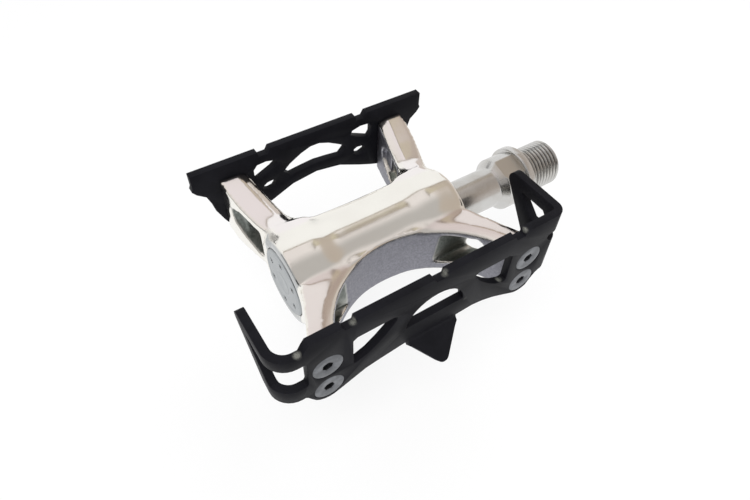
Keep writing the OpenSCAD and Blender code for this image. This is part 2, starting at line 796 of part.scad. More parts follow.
module inboard_seal() {
    seal_out = inboard_end - 0.6;
    color([0.15, 0.15, 0.15])
        at_middle()
            turned([
                [seal_out - seal_t, neck_d / 2 + run], [seal_out - seal_t, cup_bore_d / 2], [seal_out, cup_bore_d / 2],
                [seal_out, neck_d / 2 + 1.2], [seal_out + 0.4, neck_d / 2 + 0.6], [seal_out + 0.4, neck_d / 2 + run]
            ]);
}

module dust_cap() {
    face_u = outboard_end - 0.15;
    rim_r = cup_bore_d / 2;
    color("silver")
        at_middle()
            difference() {
                turned([
                    [face_u, 0], [face_u, rim_r - 0.5], [face_u + 0.5, rim_r], [face_u + cap_t + cap_skirt, rim_r],
                    [face_u + cap_t + cap_skirt, rim_r - 1.2], [face_u + cap_t, rim_r - 1.2], [face_u + cap_t, 0]
                ]);
                for (i = [0:cap_holes - 1])
                    rotate([i * 360 / cap_holes, 0, 0])
                        translate([face_u - past, 0, rim_r - 3])
                            rotate([0, 90, 0]) cylinder(h = past + 0.8, d = 1.6);
            }
}

pedal_body();
front_plate();
rear_plate();
front_plate_screws();
rear_plate_screws();
spindle();
inboard_seal();
inboard_cup();
inboard_balls();
outboard_balls();
outboard_cup();
bearing_cone();
lock_washer();
locknut();
dust_cap();
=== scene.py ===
"""Looks of a left-hand track pedal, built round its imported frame.

Lengths in the property groups are metres, as Blender's are. +X runs along the spindle
towards the crank, +Y towards the toe, +Z up, and the origin is at the crank's shoulder.
"""

import math

import bmesh
import bpy
import numpy as np
from bpy.props import FloatProperty, FloatVectorProperty, IntProperty, PointerProperty
from mathutils import Matrix, Vector


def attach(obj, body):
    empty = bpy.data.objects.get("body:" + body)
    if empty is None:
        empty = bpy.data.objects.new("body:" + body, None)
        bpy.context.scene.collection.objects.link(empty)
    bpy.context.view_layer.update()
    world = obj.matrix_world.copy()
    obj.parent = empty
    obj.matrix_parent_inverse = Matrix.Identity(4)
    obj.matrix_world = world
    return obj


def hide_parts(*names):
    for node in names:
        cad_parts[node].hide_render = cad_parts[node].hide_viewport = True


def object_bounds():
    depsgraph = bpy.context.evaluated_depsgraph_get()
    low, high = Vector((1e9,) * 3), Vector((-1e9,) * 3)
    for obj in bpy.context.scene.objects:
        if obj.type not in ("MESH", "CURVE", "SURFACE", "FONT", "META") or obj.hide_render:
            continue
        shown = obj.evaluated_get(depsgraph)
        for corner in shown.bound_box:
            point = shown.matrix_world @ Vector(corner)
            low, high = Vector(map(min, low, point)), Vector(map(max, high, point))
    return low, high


bl_info = {
    "name": "Track Pedal",
    "version": (1, 0, 0),
    "blender": (4, 5, 0),
    "location": "View3D > Sidebar > Pedal",
    "description": "Builds the looks of a track pedal round its packed frame",
    "category": "Object",
}

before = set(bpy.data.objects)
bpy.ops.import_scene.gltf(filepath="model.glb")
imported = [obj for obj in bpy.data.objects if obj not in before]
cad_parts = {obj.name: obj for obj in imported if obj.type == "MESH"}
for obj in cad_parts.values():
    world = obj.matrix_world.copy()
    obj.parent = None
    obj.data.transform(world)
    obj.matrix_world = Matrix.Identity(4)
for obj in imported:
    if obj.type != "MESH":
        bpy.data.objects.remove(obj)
CAD_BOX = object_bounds()
MM = 0.001
MIDDLE = np.array([-55.0, 0.0, 0.0])  # middle of the cage, in millimetres


def length(name, description, mm, low, high):
    """A length property in metres, given in millimetres."""
    return FloatProperty(
        name=name,
        description=description,
        default=mm * MM,
        min=low * MM,
        max=high * MM,
        unit="LENGTH",
        precision=5,
    )


def share(name, description, value):
    return FloatProperty(
        name=name, description=description, default=value, min=0.0, max=1.0, subtype="FACTOR"
    )


def angle(name, description, degrees):
    return FloatProperty(name=name, description=description, default=math.radians(degrees), subtype="ANGLE")


def count(name, description, number, low, high):
    return IntProperty(name=name, description=description, default=number, min=low, max=high)


def colour(name, description, rgb):
    return FloatVectorProperty(
        name=name, description=description, default=rgb, size=3, min=0.0, max=1.0, subtype="COLOR"
    )


# Materials


class Value:
    """A number socket. Sums, products and powers of it, and numbers less it, add their Math nodes."""

    def __init__(self, finish, socket):
        self.finish, self.socket = finish, socket

    def _with(self, operation, *values):
        return self.finish.node("ShaderNodeMath", {"operation": operation}, enumerate(values))

    def __add__(self, other):
        return self._with("ADD", self, other)

    def __rsub__(self, other):
        return self._with("SUBTRACT", other, self)

    def __mul__(self, other):
        return self._with("MULTIPLY", self, other)

    def __pow__(self, other):
        return self._with("POWER", self, other)

    def higher(self, other):
        return self._with("MAXIMUM", self, other)

    def rise(self, low, high):
        """0 at low, 1 at high, eased between them."""
        return self.finish.node(
            "ShaderNodeMapRange",
            {"interpolation_type": "SMOOTHSTEP"},
            {"Value": self, "From Min": low, "From Max": high},
        )

    __radd__, __rmul__ = __add__, __mul__


class Finish:
    """A node material round one Principled shader."""

    def __init__(self, name, **constants):
        self.material = bpy.data.materials.new(name)
        self.material.use_nodes = True
        self.tree = self.material.node_tree
        self.shader = self.tree.nodes["Principled BSDF"]
        for key, value in constants.items():
            socket = self.shader.inputs[key.replace("_", " ")]
            socket.default_value = (*value, 1.0) if isinstance(value, (tuple, list)) else value
        self.place = self.node("ShaderNodeTexCoord", {}, {}, "Object")

    def node(self, kind, settings, inputs, output=0):
        """Adds a node, sets it, feeds its sockets and gives back one of its outputs."""
        made = self.tree.nodes.new(kind)
        for key, value in settings.items():
            setattr(made, key, value)
        for key, value in inputs.items() if isinstance(inputs, dict) else inputs:
            self.feed(made.inputs[key], value)
        return Value(self, made.outputs[output])

    def feed(self, socket, value):
        if isinstance(value, Value):
            self.tree.links.new(value.socket, socket)
        elif isinstance(value, (tuple, list)) and len(socket.default_value) == 4:
            socket.default_value = (*value, 1.0)
        else:
            socket.default_value = value

    def set(self, name, value):
        self.feed(self.shader.inputs[name], value)

    def read(self, attribute):
        """A number that the piece's own points carry."""
        return self.node("ShaderNodeAttribute", {"attribute_name": attribute}, {}, "Fac")

    def noise(self, scale, detail, rough=0.5, stretch=None):
        """Cloudy noise from 0 to 1; scale is in cells to the metre."""
        place = self.place
        if stretch:
            place = self.node("ShaderNodeMapping", {}, {"Vector": place, "Scale": stretch})
        sockets = {"Vector": place, "Scale": scale, "Detail": detail, "Roughness": rough}
        return self.node("ShaderNodeTexNoise", {}, sockets, "Fac")

    def axis(self, letter):
        return self.node("ShaderNodeSeparateXYZ", {}, {"Vector": self.place}, letter)

    def blend(self, factor, low, high):
        """Colour low where the factor is 0, high where it is 1."""
        return self.node(
            "ShaderNodeMix", {"data_type": "RGBA", "clamp_factor": True}, {0: factor, 6: low, 7: high}, 2
        )

    def bump(self, height, strength, depth):
        sockets = {"Height": height, "Strength": strength, "Distance": depth}
        self.set("Normal", self.node("ShaderNodeBump", {}, sockets, "Normal"))


def between(factor, low, high):
    """A number that runs from low to high with the factor."""
    return low + factor * (high - low)


# Meshes


def eased(x, low, high):
    """0 at low, 1 at high, and 3t^2 - 2t^3 between them."""
    t = np.clip((x - low) / (high - low), 0.0, 1.0)
    return t * t * (3.0 - 2.0 * t)


def bell(x, middle, width):
    """exp(-((x - middle) / width)^2)"""
    return np.exp(-(((x - middle) / width) ** 2))


def new_piece(name, verts, faces, smooth_deg=30.0):
    """Shows points and faces as a piece."""
    mesh = bpy.data.meshes.new(name)
    mesh.from_pydata(verts.tolist(), [], faces)
    mesh.update()
    return show(name, mesh, smooth_deg)


def show(name, mesh, smooth_deg):
    """Puts a mesh in the scene as a piece, smooth but for edges sharper than the angle."""
    mesh.shade_smooth()
    mesh.set_sharp_from_angle(angle=math.radians(smooth_deg))
    mesh.name = name
    piece = bpy.data.objects.new(name, mesh)
    bpy.context.scene.collection.objects.link(piece)
    return piece


def skin(rings):
    """Points and faces of the closed surface through rings of points, with a pole at either end.
    Its faces are turned outwards by the sign of the volume that they enclose."""
    rows, cols, _ = rings.shape
    verts = np.vstack([rings.reshape(-1, 3), rings[:1].mean(1), rings[-1:].mean(1)])
    row = np.arange(rows - 1)[:, None] * cols
    here = np.arange(cols)[None, :]
    after = (here + 1) % cols
    quads = np.stack([row + here, row + after, row + cols + after, row + cols + here], -1).reshape(-1, 4)
    first = np.stack([np.full(cols, rows * cols), after[0], here[0]], -1)
    last_row = (rows - 1) * cols
    last = np.stack([np.full(cols, rows * cols + 1), last_row + here[0], last_row + after[0]], -1)
    tris = np.vstack([quads[:, :3], quads[:, [0, 2, 3]], first, last])
    a, b, c = (verts[tris[:, i]] for i in range(3))
    if np.einsum("ij,ij->i", a, np.cross(b, c)).sum() < 0:
        quads, first, last = quads[:, ::-1], first[:, ::-1], last[:, ::-1]
    return verts, quads.tolist() + first.tolist() + last.tolist()


def joined(parts):
    """Several skins as one list of points and faces."""
    verts, faces, start = [], [], 0
    for part_verts, part_faces in parts:
        verts.append(part_verts)
        faces += [[i + start for i in face] for face in part_faces]
        start += len(part_verts)
    return np.vstack(verts), faces


def merged_copy(node, flat_deg=None):
    """A CAD node's mesh with its loose triangles joined, and with one face for triangles that lie within
    flat_deg of a plane, where that is given."""
    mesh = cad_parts[node].data.copy()
    work = bmesh.new()
    work.from_mesh(mesh)
    bmesh.ops.remove_doubles(work, verts=work.verts, dist=2e-6)
    if flat_deg:
        bmesh.ops.dissolve_limit(
            work,
            angle_limit=math.radians(flat_deg),
            use_dissolve_boundaries=False,
            verts=work.verts,
            edges=work.edges,
        )
    for face in work.faces:
        face.smooth = True
    work.to_mesh(mesh)
    work.free()
    mesh.materials.clear()
    if "custom_normal" in mesh.attributes:
        mesh.attributes.remove(mesh.attributes["custom_normal"])
    return mesh


def with_modifier(mesh, kind, **settings):
    """The mesh after a modifier of a kind."""
    carrier = bpy.data.objects.new("carrier", mesh)
    bpy.context.scene.collection.objects.link(carrier)
    modifier = carrier.modifiers.new(kind.lower(), kind)
    for key, value in settings.items():
        setattr(modifier, key, value)
    ready = carrier.evaluated_get(bpy.context.evaluated_depsgraph_get())
    made = bpy.data.meshes.new_from_object(ready)
    bpy.data.objects.remove(carrier)
    return made


def points_of(mesh):
    """The mesh's points in millimetres."""
    co = np.empty(len(mesh.vertices) * 3)
    mesh.vertices.foreach_get("co", co)
    return co.reshape(-1, 3) / MM


def normals_of(mesh):
    n = np.empty(len(mesh.vertices) * 3)
    mesh.vertex_normals.foreach_get("vector", n)
    return n.reshape(-1, 3)


def carry(mesh, **fields):
    """Gives the mesh's points one number each by name."""
    for name, values in fields.items():
        attribute = mesh.attributes.new(name, "FLOAT", "POINT")
        attribute.data.foreach_set("value", np.asarray(values, np.float32))


def around_of(mesh):
    """Gives two functions: one takes values at the points to their mean over each point's neighbours, the
    other takes places to the mean square of the distance to those neighbours."""
    pairs = np.empty(len(mesh.edges) * 2, np.int64)
    mesh.edges.foreach_get("vertices", pairs)
    a, b = pairs.reshape(-1, 2).T
    total = len(mesh.vertices)
    ends = np.bincount(a, minlength=total) + np.bincount(b, minlength=total)

    def around(values):
        if values.ndim == 2:
            return np.stack([around(column) for column in values.T], -1)
        return (np.bincount(a, values[b], total) + np.bincount(b, values[a], total)) / ends

    def spacing(co):
        step = ((co[a] - co[b]) ** 2).sum(1)
        return (np.bincount(a, step, total) + np.bincount(b, step, total)) / ends

    return around, spacing


def move_to(mesh, co):
    mesh.vertices.foreach_set("co", (co * MM).ravel())
    mesh.update()


def relax(mesh, weight, passes):
    """Moves each point by its weight half way to the middle of its neighbours, again and again."""
    around, _ = around_of(mesh)
    co = points_of(mesh)
    part = 0.5 * np.broadcast_to(weight, len(co))[:, None]
    for _ in range(passes):
        co += part * (around(co) - co)
    move_to(mesh, co)


def bend_of(mesh):
    """How sharply the surface bends at each point, above 0 on an edge and below 0 in a crease: twice the
    normal part of the step from the middle of the neighbours, over the square of their distance. Two passes
    of the mean with the neighbours then even it out."""
    co, normal = points_of(mesh), normals_of(mesh)
    around, spacing = around_of(mesh)
    bend = -2.0 * ((around(co) - co) * normal).sum(1) / spacing(co)
    for _ in range(2):
        bend = 0.5 * (bend + around(bend))
    return bend


# What a user may change


class BodySizes(bpy.types.PropertyGroup):
    cell: length("Cell", "Size of the cells that the forged body is rebuilt from", 0.395, 0.2, 1.0)
    rounding: count("Rounding", "Passes that soften the body's edges", 4, 0, 30)
    blending: count("Blending", "Passes that blend the arms into the barrel", 110, 0, 300)
    land: angle("Land", "Tilt of the land along the toe arch", 12)
    polish: colour("Polish", "Colour of the polished barrel", (0.905, 0.885, 0.83))
    # painted reflection: the arm tops' pinkish tints stand for the room that the flats mirror, and the heel
    # arms' darker copy is painted shade
    toe_top_reflection_tint: colour("Toe arms", "Colour of the polished tops of the toe arms", (0.90, 0.86, 0.85))
    heel_top_shade_tint: colour("Heel arms", "Colour of the polished tops of the heel arms", (0.76, 0.69, 0.66))
    forged: colour("Forged wall", "Colour of the matte walls of the arches", (0.35, 0.35, 0.39))
    # partly the pockets' own matte forged colour, partly painted shade: darker and greener than the forged
    # walls
    pocket: colour("Pocket", "Colour inside the arms' pockets", (0.27, 0.29, 0.27))
    # painted shade: this brown darkens the body's creases
    crease: colour("Crease", "Colour of the buffed creases", (0.34, 0.26, 0.17))


class PlateSizes(bpy.types.PropertyGroup):
    edge: length("Edge", "Width of the bevel round the plates' edges", 0.22, 0.05, 0.5)
    coat: colour("Anodising", "Colour of the plates' black coat", (0.0075, 0.0075, 0.0095))
    rubbed: colour("Rubbed edge", "Colour of the plates' rubbed edges", (0.11, 0.10, 0.09))
    # painted highlight: the colour of the heel plate's painted glints
    glint: colour("Bare spot", "Colour where the coat is gone", (0.20, 0.20, 0.18))


class ScrewSizes(bpy.types.PropertyGroup):
    head: length("Head", "Diameter of a screw's head", 8.1, 6, 10)
    shank: length("Shank", "Diameter of a screw's shank", 4.0, 3, 5)
    reach: length("Reach", "Length of a screw", 7.0, 5, 8)
    socket: length("Socket", "Width across the socket's flats", 2.5, 2, 3)
    socket_depth: length("Socket depth", "Depth of the socket", 1.5, 1, 2)
    steel: colour("Steel", "Colour of the screws", (0.13, 0.135, 0.145))


class SpindleSizes(bpy.types.PropertyGroup):
    pitch: length("Pitch", "Distance between the crank thread's crests", 1.27, 1.0, 1.5)
    thread_depth: length("Thread depth", "Depth of the crank thread", 0.72, 0.4, 0.9)
    thread: length("Thread", "Outer diameter of the crank thread", 14.29, 12, 16)
    collar: length("Flange", "Diameter of the flange at the crank", 18.8, 17, 21)
    grip: length("Boss", "Diameter of the boss with the wrench flats", 16.4, 15.5, 17)
    flats: length("Flats", "Width across the wrench flats", 15.0, 14, 16)
    neck: length("Neck", "Diameter of the neck", 12.2, 11, 13)
    plating: colour("Plating", "Colour of the spindle's plating", (0.62, 0.615, 0.60))


class CapSizes(bpy.types.PropertyGroup):
    holes: count("Holes", "Number of spanner holes in the dust cap", 6, 3, 8)
    hole: length("Hole", "Diameter of a spanner hole", 1.6, 1.0, 2.0)
    alloy: colour("Alloy", "Colour of the dust cap", (0.40, 0.42, 0.43))


class StageSizes(bpy.types.PropertyGroup):
    azimuth: angle("Azimuth", "Turn of the camera", -34.276)
    elevation: angle("Elevation", "Rise of the camera", 49.824)
    roll: angle("Roll", "Tilt of the camera's frame", 2.103)
    distance: length("Distance", "Distance of the camera along its line of sight", 165.546, 50, 1000)
    lens: FloatProperty(
        name="Lens", description="Focal length in mm on a 36 mm sensor", default=27.589, min=10, max=200
    )
    keep_shadow: share("Shadow", "How much of the floor's shadow the camera sees", 0.22)


GROUPS = {
    "pedal_body_sizes": BodySizes,
    "pedal_plate_sizes": PlateSizes,
    "pedal_screw_sizes": ScrewSizes,
    "pedal_spindle_sizes": SpindleSizes,
    "pedal_cap_sizes": CapSizes,
    "pedal_stage_sizes": StageSizes,
}


# The forged body

# Millimetres from the middle of the cage, as in the part's source. Each pair of lists gives distances from
# the axis, or from the barrel's middle, and the sizes there.
TOE_ARCH_START, TOE_ARCH_HALF = 8.1, 22.6
HEEL_ARCH_START, HEEL_ARCH_CENTRE, HEEL_ARCH_RADIUS = 8.9, 36.3, 27.4
TOE_WALL = ([0, 6, 14, 20, 25, 29.3], [24.6, 24.6, 27.1, 28.6, 29.4, 29.6])
HEEL_WALL = ([0, 7, 18, 28.8], [24.6, 24.6, 29.1, 33.8])
TOE_ARM_TOP = ([TOE_ARCH_START, 29.3], [9, 15])
HEEL_ARM_TOP = ([HEEL_ARCH_START, 28.8], [9, 10.4])
BARREL_RADIUS = ([0, 12.35, 13.35, 14.35, 15.35, 16.35], [11.6, 11.9, 12.02, 12.3, 12.58, 12.7])
FLANGE = 2.3  # from an arm's top down to its pocket
POCKET_SPAN = (12.1, 26.1)  # distances from the axis between which the pockets lie


def by_side(y, toe, heel):
    """The toe side's value where y is above 0, and the heel side's elsewhere."""
    return np.where(y > 0, toe, heel)


def arm_wall(y):
    """Half width of the arms' outer walls at a distance along Y."""
    reach = np.abs(y)
    return by_side(y, np.interp(reach, *TOE_WALL), np.interp(reach, *HEEL_WALL))


def body_fields(mesh):
    """Numbers from 0 to 1 that say where the body is a matte wall or a pocket, a flat top, its underside, the
    barrel's end or the corner beside it, an edge or a crease."""
    co, normal = points_of(mesh) - MIDDLE, normals_of(mesh)
    u, y, z = co.T
    out, reach = np.abs(u), np.abs(y)
    steep = 1.0 - eased(np.abs(normal[:, 2]), 0.45, 0.7)
    # matte walls lie round the heel arch and along the back of the toe arch
    heel_gap = eased(HEEL_ARCH_RADIUS + 0.7 - np.hypot(u, y + HEEL_ARCH_CENTRE), 0.0, 0.3) * (y < -8.3)
    toe_gap = eased(TOE_ARCH_HALF - out, 0.0, 0.3) * eased(y, 7.6, 8.0)
    gap = by_side(y, toe_gap, heel_gap)
    # the pockets lie inside the arms' outer walls and between their flanges
    top = by_side(y, np.interp(reach, *TOE_ARM_TOP), np.interp(reach, *HEEL_ARM_TOP)) - FLANGE
    bottom = by_side(y, -2.0, -4.2)
    hollow = (
        eased(arm_wall(y) - out, 0.3, 0.7)
        * (1.0 - gap)
        * eased(top - z, -0.2, 0.2)
        * eased(z - bottom, -0.2, 0.2)
        * eased(reach, POCKET_SPAN[0] - 0.3, POCKET_SPAN[0] + 0.3)
        * eased(POCKET_SPAN[1] + 0.3 - reach, 0.0, 0.6)
    )
    arm_top = eased(normal[:, 2], 0.9, 0.97) * eased(z, 8.0, 8.8) * eased(reach, 3.0, 5.0)
    corner = eased(out, 24.0, 24.8) * eased(y, 3.5, 5.5) * (1.0 - eased(y, 9.5, 11.0)) * eased(z, 6.0, 8.0)
    bend = bend_of(mesh)
    return {
        "wall": gap * steep,
        "hollow": hollow,
        "flat": arm_top * eased(np.hypot(y, z), 12.9, 13.5),
        "under": eased(-normal[:, 2], 0.1, 0.5),
        "corner": corner,
        "end": eased(out, 24.6, 25.2) * eased(np.abs(normal[:, 0]), 0.55, 0.85) * (reach < 9.0),
        "edge": eased(bend, 0.25, 0.9),
        "crease": eased(-bend, 0.12, 0.5),
    }


def polished_finish(sizes):
    """Mirror polish, with a painted reflection tint on the arms' tops that is darker on the heel arms as
    painted shade.
    It has painted shade in the creases, a painted dark reflection along edges and a painted grey reflection
    on the barrel's end faces. The forged walls are matte, and the pockets are matte and darker by painted
    shade.
    """
    finish = Finish("polished_alloy", Metallic=1.0)
    wall, hollow, flat, edge = (finish.read(name) for name in ("wall", "hollow", "flat", "edge"))
    crease, under, end, corner = (finish.read(name) for name in ("crease", "under", "end", "corner"))
    cloud = finish.noise(90, 3)
    grain = finish.noise(5200, 2, 0.7)
    pits = finish.noise(1500, 3, 0.6)
    smear = finish.noise(260, 3, 0.6, (0.35, 1, 1))
    toe_side = finish.axis("Y").rise(-0.004, 0.004)
    # painted reflection tints on the arm tops, darker on the heel side as painted shade
    arm_top = finish.blend(toe_side, tuple(sizes.heel_top_shade_tint), tuple(sizes.toe_top_reflection_tint))
    bright = finish.blend(flat, tuple(sizes.polish), arm_top)
    bright = finish.blend(cloud.rise(0.35, 0.75) * 0.35, bright, (0.82, 0.79, 0.74))
    # painted shade darkening the creases
    bright = finish.blend(crease * 0.35, bright, tuple(sizes.crease))
    # painted reflection: a dark brown line along the edges stands for the dark room mirrored there
    bright = finish.blend(edge * 0.25, bright, (0.62, 0.52, 0.40))
    # painted reflection: the barrel's end faces are painted a darker grey for the darker room that they
    # mirror
    bright = finish.blend(end, bright, (0.50, 0.51, 0.51))
    speckle = (grain * 0.6 + pits * 0.4).rise(0.35, 0.65)
    matte = finish.blend(speckle, (0.22, 0.22, 0.25), tuple(sizes.forged))
    matte = finish.blend(edge * 0.8, matte, (0.75, 0.74, 0.72))
    # the pockets' matte colour, darkened by painted shade
    shade = finish.blend(pits.rise(0.3, 0.7), (0.17, 0.185, 0.17), tuple(sizes.pocket))
    base = finish.blend(wall.higher(under * 0.6), bright, matte)
    finish.set("Base Color", finish.blend(hollow, base, shade))
    rough = wall.higher(hollow).higher(under * 0.8).higher(crease * 0.8).higher(corner * 0.8)
    finish.set("Roughness", between(rough * (1 - edge * 0.6), 0.1 + smear * 0.07, 0.5))
    finish.bump(grain * 0.5 + pits, between(rough, 0.015, 0.5), 0.00012)
    return finish.material


def blend_arms(mesh, passes):
    """Relaxes the creases between barrel and arms, by a bell over the distance from the axis that fades out
    at the arches' rims and at the arms' outer walls."""
    u, y, z = (points_of(mesh) - MIDDLE).T
    upward = normals_of(mesh)[:, 2]
    near = bell(np.abs(y), 9.5, 4.0) * eased(z, 3.0, 6.0) * eased(upward, 0.1, 0.4)
    from_toe_rim = np.abs(u) - TOE_ARCH_HALF
    from_heel_rim = np.hypot(u, y + HEEL_ARCH_CENTRE) - HEEL_ARCH_RADIUS
    off_rim = by_side(y, eased(from_toe_rim, 0.2, 1.4), eased(from_heel_rim, 0.8, 2.4))
    wall = arm_wall(y)
    relax(mesh, near * off_rim * (1.0 - eased(np.abs(u), wall - 1.6, wall - 0.4)), passes)


def soften_shoulders(mesh, passes):
    """Relaxes the top of the barrel where it narrows to its waist, clear of the arches' rims."""
    u, y, z = (points_of(mesh) - MIDDLE).T
    near = bell(np.abs(u), 14.4, 3.5) * eased(z, 3.0, 7.0)
    relax(mesh, near * (1.0 - eased(np.abs(y), 6.0, 7.6)), passes)


def raise_land(mesh, tilt):
    """Lifts the top along the toe arch from the barrel's round to its tangent at the tilt, and over the toe
    arms' roots to the smooth maximum of that tangent and the arms' tops:
    (a + b + sqrt((a - b)^2 + s^2)) / 2."""
    co = points_of(mesh)
    u, y, z = (co - MIDDLE).T
    y = np.maximum(y, 0.0)
    radius = np.interp(np.abs(u), *BARREL_RADIUS)
    (root, tip), (low, high) = TOE_ARM_TOP
    arm = low + (high - low) / (tip - root) * (y - root)
    barrel = np.sqrt(np.maximum(radius**2 - y**2, 0.0))
    tangent = radius / math.cos(tilt) - math.tan(tilt) * y
    land = np.where(y < radius * math.sin(tilt), barrel, tangent)
    softness = 1.4**2 * eased(y, 6.0, 9.0)
    goal = 0.5 * (land + arm + np.sqrt((land - arm) ** 2 + softness))
    lift = np.maximum(goal - np.maximum(barrel, arm), 0.0) * (1.0 - eased(y, 15.0, 20.0)) * eased(z, 3.0, 8.0)
    wall = np.interp(y, *TOE_WALL)
    co[:, 2] += lift * (1.0 - eased(np.abs(u), wall - 2.0, wall + 1.4))
    move_to(mesh, co)


class PEDAL_OT_body(bpy.types.Operator):
    """Rebuild the forged body with softened edges, polished on top and matte in the arches"""

    bl_idname = "pedal.body"
    bl_label = "Forged body"

    def execute(self, context):
        sizes = context.scene.pedal_body_sizes
        mesh = with_modifier(merged_copy("pedal_body"), "REMESH", mode="VOXEL", voxel_size=sizes.cell)
        mesh.materials.clear()
        relax(mesh, 1.0, 2)
        raise_land(mesh, sizes.land)
        blend_arms(mesh, sizes.blending)
        soften_shoulders(mesh, sizes.blending)
        relax(mesh, 1.0, sizes.rounding)
        carry(mesh, **body_fields(mesh))
        piece = show("forged_body", mesh, 180.0)
        mesh.materials.append(polished_finish(sizes))
        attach(piece, "cage")
        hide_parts("pedal_body")
        return {"FINISHED"}


# The plates

# Middles of the heel plate's painted highlights, small glints, in millimetres from the middle of the cage
HEEL_GLINTS = (
    (-23.1, -30, 17.9),
    (1.7, -30, 18.1),
    (26, -30, 18.9),
    (22, -30, 1.8),
    (9.6, -30, 3.2),
    (-36.8, -30, 15.9),
)
# Metres from a painted highlight's middle within which it is full, and beyond which there is none
GLINT_REACH = (0.0003, 0.0013)


def anodised_finish(sizes, rubbed, glints):
    """Satin black coat. On the rubbed edges it thins to a brown grey, patchily, and at the listed spots a
    pale grey is painted in as highlights."""
    finish = Finish("rubbed_edge" if rubbed else "black_anodised", Metallic=0.0, Specular_IOR_Level=0.05)
    grain = finish.noise(4200, 2, 0.7)
    cloud = finish.noise(140, 4, 0.6)
    coat = tuple(sizes.coat)
    base = finish.blend(cloud.rise(0.3, 0.7), coat, tuple(c * 1.5 for c in coat))
    if rubbed:
        worn = cloud.rise(0.36, 0.62) * 0.7 + grain.rise(0.5, 0.7) * 0.2
        base = finish.blend(worn, base, tuple(sizes.rubbed))
    for spot in glints:
        at = tuple((MIDDLE + spot) * MM)
        ends = {0: finish.place, 1: at}
        away = finish.node("ShaderNodeVectorMath", {"operation": "DISTANCE"}, ends, "Value")
        # painted highlights at the listed spots
        glint_mask = (1 - away.rise(*GLINT_REACH)) * grain.rise(0.3, 0.5)
        base = finish.blend(glint_mask, base, tuple(sizes.glint))
    finish.set("Base Color", base)
    finish.set("Roughness", between(grain, 0.36, 0.52))
    finish.bump(grain, 0.12, 0.00006)
    return finish.material


def bevelled_plate(node, name, sizes, glints=()):
    """A CAD plate with its sharp edges bevelled. The bevels get the second material, which is rubbed."""
    mesh = with_modifier(
        merged_copy(node, 1.0),
        "BEVEL",
        width=sizes.edge,
        segments=2,
        limit_method="ANGLE",
        angle_limit=math.radians(32),
        material=1,
    )
    mesh.materials.clear()
    mesh.materials.append(anodised_finish(sizes, False, glints))
    mesh.materials.append(anodised_finish(sizes, True, glints))
    piece = show(name, mesh, 40.0)
    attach(piece, "cage")
    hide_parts(node)


class PEDAL_OT_plates(bpy.types.Operator):
    """Dress the toe and heel plates in black anodising with rubbed edges"""

    bl_idname = "pedal.plates"
    bl_label = "Toe and heel plates"

    def execute(self, context):
        sizes = context.scene.pedal_plate_sizes
        bevelled_plate("front_plate", "toe_plate", sizes)
        bevelled_plate("rear_plate", "heel_plate", sizes, HEEL_GLINTS)
        return {"FINISHED"}


# The screws

SCREW_PITCH = 9.54  # millimetres from a plate's lower screws up to its upper ones
SCREW_TURNS = (0.2, 0.75, 0.5, 0.9)  # how far a plate's screws are turned, in radians


def screw_skin(sizes, turn):
    """A countersunk screw as rings about its axis, face up at the origin, in millimetres. A ring has the half
    width of a hexagon, or else the radius of a circle, and a height. The hexagon's radius is its half width
    over the cosine of the angle from the middle of its nearest side."""
    head, shank, reach = sizes.head / 2 / MM, sizes.shank / 2 / MM, sizes.reach / MM
    flat, deep = sizes.socket / 2 / MM, sizes.socket_depth / MM
    angles = np.linspace(0, 2 * math.pi, 72, endpoint=False)
    hexagon = 1 / np.cos((angles + turn) % (math.pi / 3) - math.pi / 6)
    cone = head - shank
    rings = [
        (0, flat * 0.35, -deep - 0.25),
        (flat * 0.9, 0, -deep),
        (flat * 0.99, 0, -deep + 0.06),
        (flat, 0, -0.22),
        (flat + 0.02, 0, -0.16),
        (0, flat * 1.28, -0.03),
        (0, flat * 1.36, 0.0),
        (0, head - 0.28, 0.0),
        (0, head - 0.1, -0.05),
        (0, head - 0.02, -0.16),
        (0, head, -0.3),
        (0, head, -0.45),
        (0, shank, -0.45 - cone),
        (0, shank, -reach + 0.4),
        (0, shank - 0.4, -reach),
    ]
    hexed, circle, level = (np.array(column)[:, None] for column in zip(*rings))
    radius = np.where(hexed > 0, hexed * hexagon, circle)
    level = np.broadcast_to(level, radius.shape)
    return skin(np.stack([radius * np.cos(angles), radius * np.sin(angles), level], -1))


def screw_finish(sizes):
    finish = Finish("screw_steel", Metallic=1.0)
    grain = finish.noise(3800, 3, 0.6)
    stain = finish.noise(500, 3, 0.6)
    steel = tuple(sizes.steel)
    stained = tuple(c * 1.6 for c in steel)
    finish.set("Base Color", finish.blend(stain.rise(0.35, 0.7), steel, stained))
    finish.set("Roughness", between(grain, 0.28, 0.46))
    finish.bump(grain, 0.2, 0.00005)
    return finish.material


class PEDAL_OT_screws(bpy.types.Operator):
    """Turn the eight countersunk socket screws"""

    bl_idname = "pedal.screws"
    bl_label = "Plate screws"

    def execute(self, context):
        sizes = context.scene.pedal_screw_sizes
        steel = screw_finish(sizes)
        for node, name, side, across, face, height in (
            ("front_plate_screws", "toe_screws", 1, 25.7, 31.5, 6.2),
            ("rear_plate_screws", "heel_screws", -1, 30.3, -31.0, 1.4),
        ):
            # a screw's own Z runs out of the plate's face
            turn = np.array(Matrix.Rotation(math.radians(-90 * side), 3, "X"))
            parts = []
            for (column, row), own_turn in zip(((-1, -1), (-1, 1), (1, -1), (1, 1)), SCREW_TURNS):
                verts, faces = screw_skin(sizes, own_turn)
                at = MIDDLE + [column * across, face, height + row * SCREW_PITCH / 2]
                parts.append(((verts @ turn.T + at) * MM, faces))
            piece = new_piece(name, *joined(parts), 32.0)
            piece.data.materials.append(steel)
            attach(piece, "cage")
            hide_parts(node)
        return {"FINISHED"}


# The spindle

# Millimetres along X from the crank's shoulder
FLATS_FROM, FLATS_TO = -11.2, -2.605
THREAD_FROM, BEVEL_FROM, THREAD_TO = 0.05, 11.5, 12.4
RING_STEP = 1.27 / 14  # fourteen rings to a crest of the thread
FLATS_TURN = math.radians(13)  # from +Z about +X


